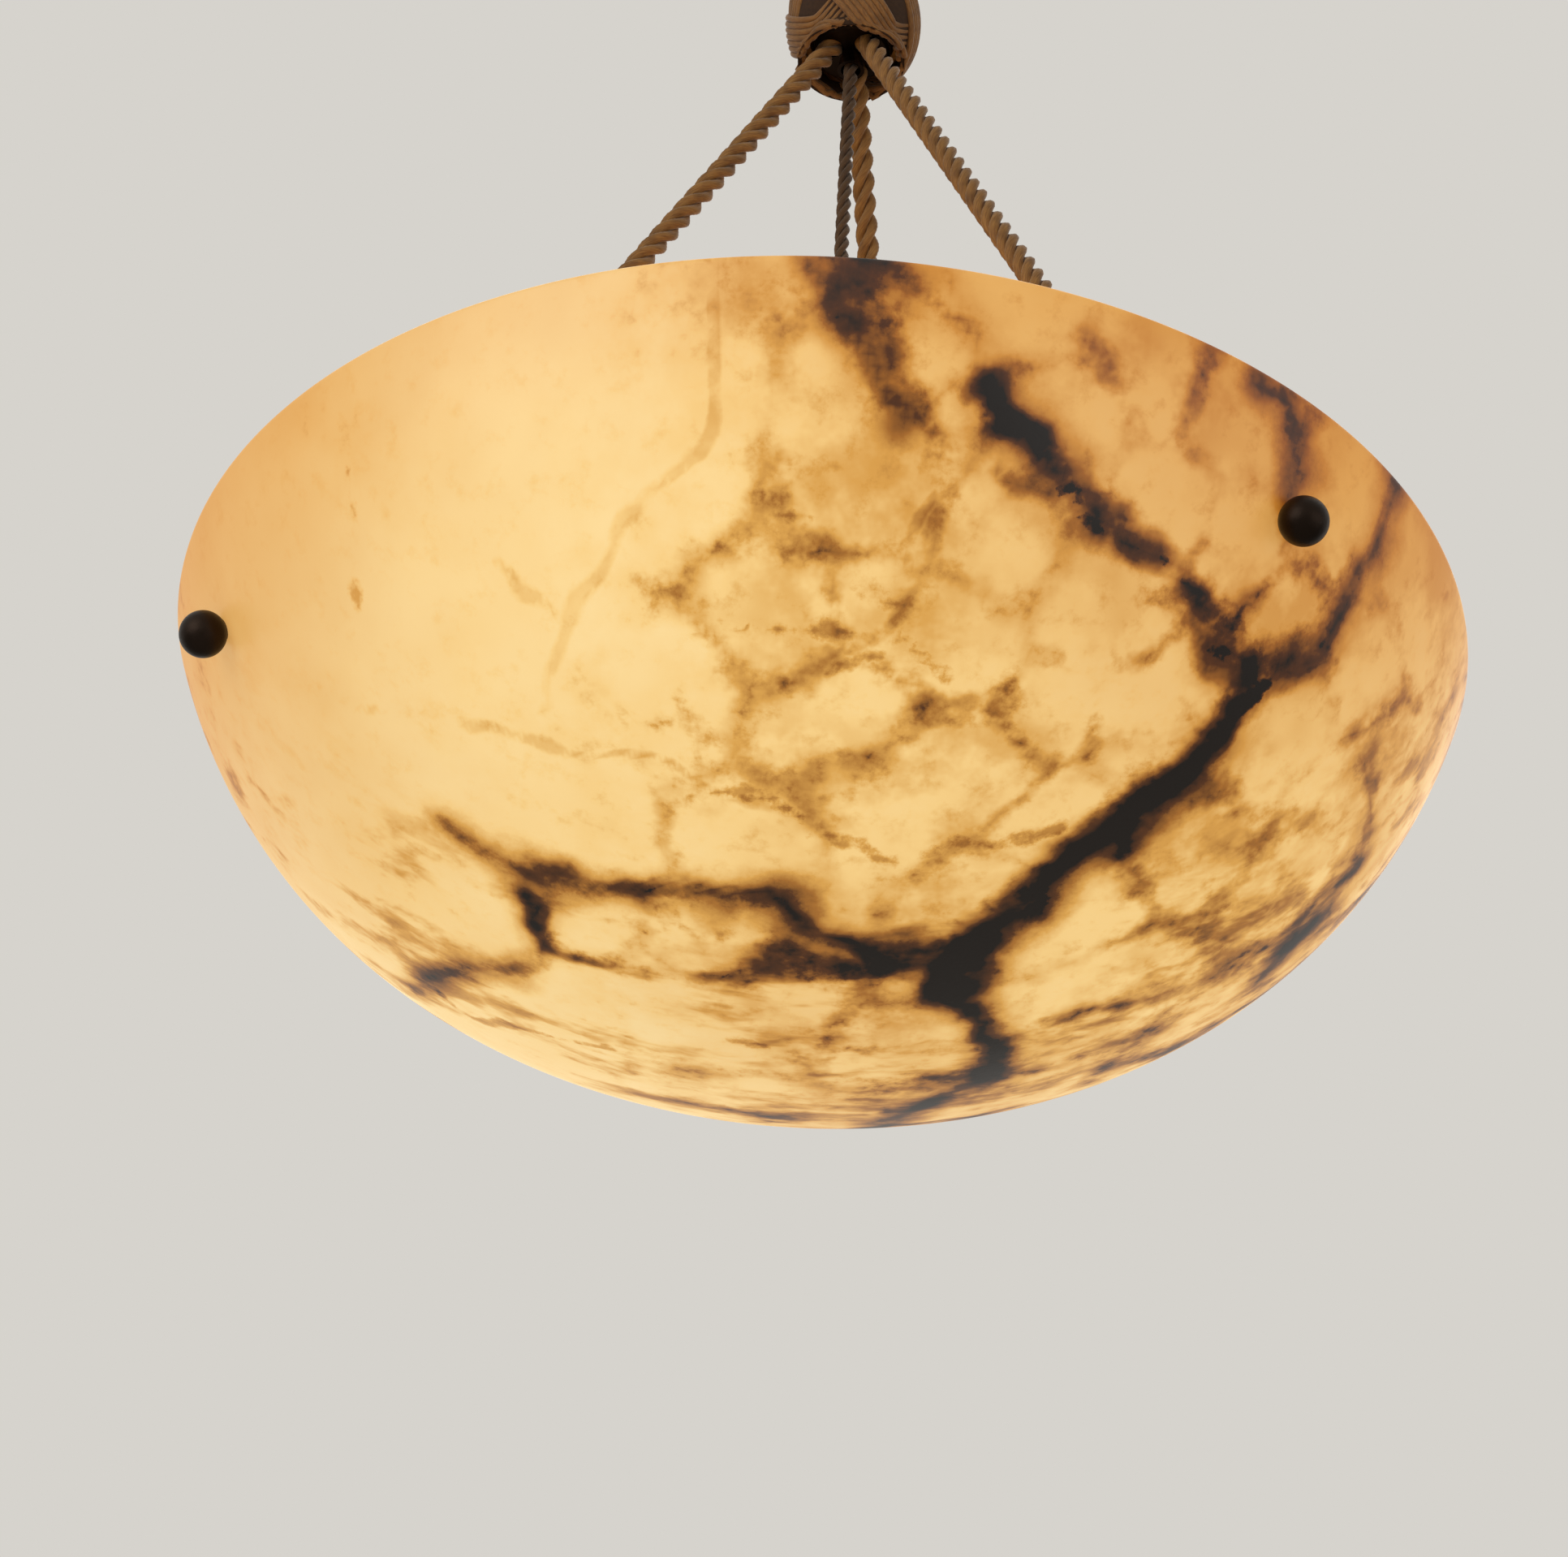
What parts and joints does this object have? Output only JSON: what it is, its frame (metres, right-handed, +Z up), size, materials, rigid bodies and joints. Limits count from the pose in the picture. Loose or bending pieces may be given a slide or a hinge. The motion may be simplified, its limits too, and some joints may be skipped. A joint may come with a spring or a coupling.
{
  "type": "alabaster bowl pendant light",
  "caption": "Carved alabaster bowl hung by rope slings from a cord-covered knob on one thick rope, with lamps inside and a bell canopy at the ceiling.",
  "frame": {"origin": "middle of the ceiling strap's two fixing slots, on the ceiling plane", "axes": "+Z up towards the ceiling, along the pendant's hanging axis; +X along the ceiling strap; -Y towards the viewer of the picture"},
  "size_m": [0.3984, 0.3984, 0.597],
  "materials": {
    "zinc_steel": "satin",
    "aged_brass": "satin",
    "silk_rope": "matte",
    "knob_cord": "matte",
    "flex_sheath": "matte",
    "core_wire": "matte",
    "nylon_white": "matte",
    "turned_wood": "matte",
    "alabaster": "polished",
    "fibre_washer": "matte",
    "dark_iron": "satin",
    "holder_resin": "matte",
    "tinned_base": "satin",
    "opal_glass": "opal"
  },
  "bodies": {
    "ceiling_group": {"mounting_strap": "zinc_steel", "ceiling_hook": "zinc_steel", "hook_nuts": "zinc_steel", "canopy": "aged_brass", "canopy_screws": "aged_brass", "terminal_block": "nylon_white", "terminal_screws": "tinned_base", "canopy_wires": "core_wire"},
    "ring": {"hanger_ring": "aged_brass"},
    "cap": {"rope_cap": "aged_brass"},
    "rope_and_knob": {"main_rope": "silk_rope", "flex_core": "flex_sheath", "rope_socket": "zinc_steel", "knob_core": "turned_wood", "knob_cover": "knob_cord", "knob_flex": "flex_sheath"},
    "small_ring": {"gather_ring": "zinc_steel"},
    "bowl_group": {"gather_cap": "zinc_steel", "sling_rope_1": "silk_rope", "sling_rope_2": "silk_rope", "sling_rope_3": "silk_rope", "sling_hook_1": "aged_brass", "sling_hook_2": "aged_brass", "sling_hook_3": "aged_brass", "anchor_1": "dark_iron", "anchor_2": "dark_iron", "anchor_3": "dark_iron", "anchor_nuts": "zinc_steel", "anchor_washers": "fibre_washer", "bowl": "alabaster"},
    "lead": {"lamp_lead": "flex_sheath"},
    "lamps": {"cord_grip": "nylon_white", "lamp_hub": "aged_brass", "hub_finial": "aged_brass", "lamp_arm_1": "aged_brass", "holder_cap_1": "aged_brass", "lamp_holder_1": "holder_resin", "holder_ring_1": "holder_resin", "bulb_base_1": "tinned_base", "bulb_1": "opal_glass", "lamp_arm_2": "aged_brass", "holder_cap_2": "aged_brass", "lamp_holder_2": "holder_resin", "holder_ring_2": "holder_resin", "bulb_base_2": "tinned_base", "bulb_2": "opal_glass", "lamp_arm_3": "aged_brass", "holder_cap_3": "aged_brass", "lamp_holder_3": "holder_resin", "holder_ring_3": "holder_resin", "bulb_base_3": "tinned_base", "bulb_3": "opal_glass"}
  },
  "joints": [
    {"name": "ring_swing", "type": "hinge", "parent": "ceiling_group", "child": "ring", "pos_m": [0, 0, -0.04525], "axis": [1, 0, 0], "range_deg": [-6, 6], "deforming": ["canopy_wires"]},
    {"name": "cap_swing", "type": "hinge", "parent": "ring", "child": "cap", "pos_m": [0, 0, -0.0577], "axis": [0, 1, 0], "range_deg": [-6, 6]},
    {"name": "rope_twist", "type": "hinge", "parent": "cap", "child": "rope_and_knob", "pos_m": [0, 0, -0.07065], "axis": [0, 0, 1], "range_deg": [-90, 90]},
    {"name": "knob_ring_swing", "type": "hinge", "parent": "rope_and_knob", "child": "small_ring", "pos_m": [0, 0, -0.1772], "axis": [1, 0, 0], "range_deg": [-2.5, 2.5], "deforming": ["knob_flex"]},
    {"name": "bowl_swing", "type": "hinge", "parent": "small_ring", "child": "bowl_group", "pos_m": [0, 0, -0.18515], "axis": [0, 1, 0], "range_deg": [-2.5, 2.5]},
    {"name": "lead_swing", "type": "hinge", "parent": "bowl_group", "child": "lead", "pos_m": [0, 0, -0.2019], "axis": [1, 0, 0], "range_deg": [-4, 4]},
    {"name": "lamp_swing", "type": "hinge", "parent": "lead", "child": "lamps", "pos_m": [0, 0, -0.4756], "axis": [0, 1, 0], "range_deg": [-4, 4]}
  ]
}
